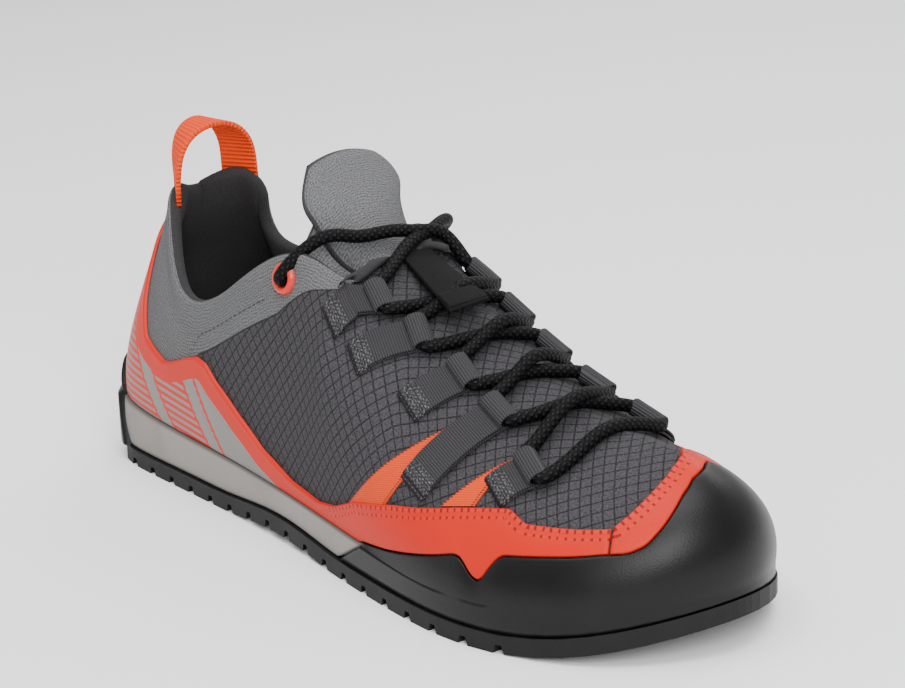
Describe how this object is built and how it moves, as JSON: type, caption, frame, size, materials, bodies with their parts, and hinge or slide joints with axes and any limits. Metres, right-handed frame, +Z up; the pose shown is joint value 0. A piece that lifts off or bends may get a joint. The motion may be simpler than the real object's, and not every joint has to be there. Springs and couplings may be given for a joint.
{
  "type": "approach shoe",
  "caption": "Low right-foot approach shoe with a hollow closed-instep upper, lace loops, padded tongue, heel pull loop, rubber toe rand and lugged outsole.",
  "frame": {"origin": "centre of the whole shoe's box in plan, on the floor under the sole", "axes": "+X from the heel to the toe, +Y from the lateral to the medial side, +Z up"},
  "size_m": [0.2854, 0.1038, 0.1231],
  "materials": {
    "rubber": "satin moulded black rubber",
    "foam": "matt light grey foam",
    "ripstop": "dark grey ripstop weave and grey knit",
    "red_film": "satin red-orange film with stitched edges",
    "orange_webbing": "ribbed orange webbing and film",
    "grey_knit": "matt grey knit",
    "footbed": "matt dark textile",
    "dark_webbing": "dark grey ribbed webbing",
    "black_cord": "black braided cord and tab"
  },
  "bodies": {
    "root": {"outsole": "rubber", "midsole": "foam", "toe_rand": "rubber", "heel_rand": "rubber", "insole": "footbed", "upper": "ripstop", "side_overlay": "red_film", "toe_strip": "red_film", "tongue": "grey_knit", "pull_loop": "orange_webbing", "lace_keeper": "black_cord", "lace": "black_cord", "eyelet_lateral": "orange_webbing", "wedge_rear_lateral": "orange_webbing", "wedge_front_lateral": "orange_webbing", "lace_loop_lateral_1": "dark_webbing", "lace_loop_lateral_2": "dark_webbing", "lace_loop_lateral_3": "dark_webbing", "lace_loop_lateral_4": "dark_webbing", "lace_loop_lateral_5": "dark_webbing", "eyelet_medial": "orange_webbing", "wedge_rear_medial": "orange_webbing", "wedge_front_medial": "orange_webbing", "lace_loop_medial_1": "dark_webbing", "lace_loop_medial_2": "dark_webbing", "lace_loop_medial_3": "dark_webbing", "lace_loop_medial_4": "dark_webbing", "lace_loop_medial_5": "dark_webbing"}
  },
  "joints": []
}
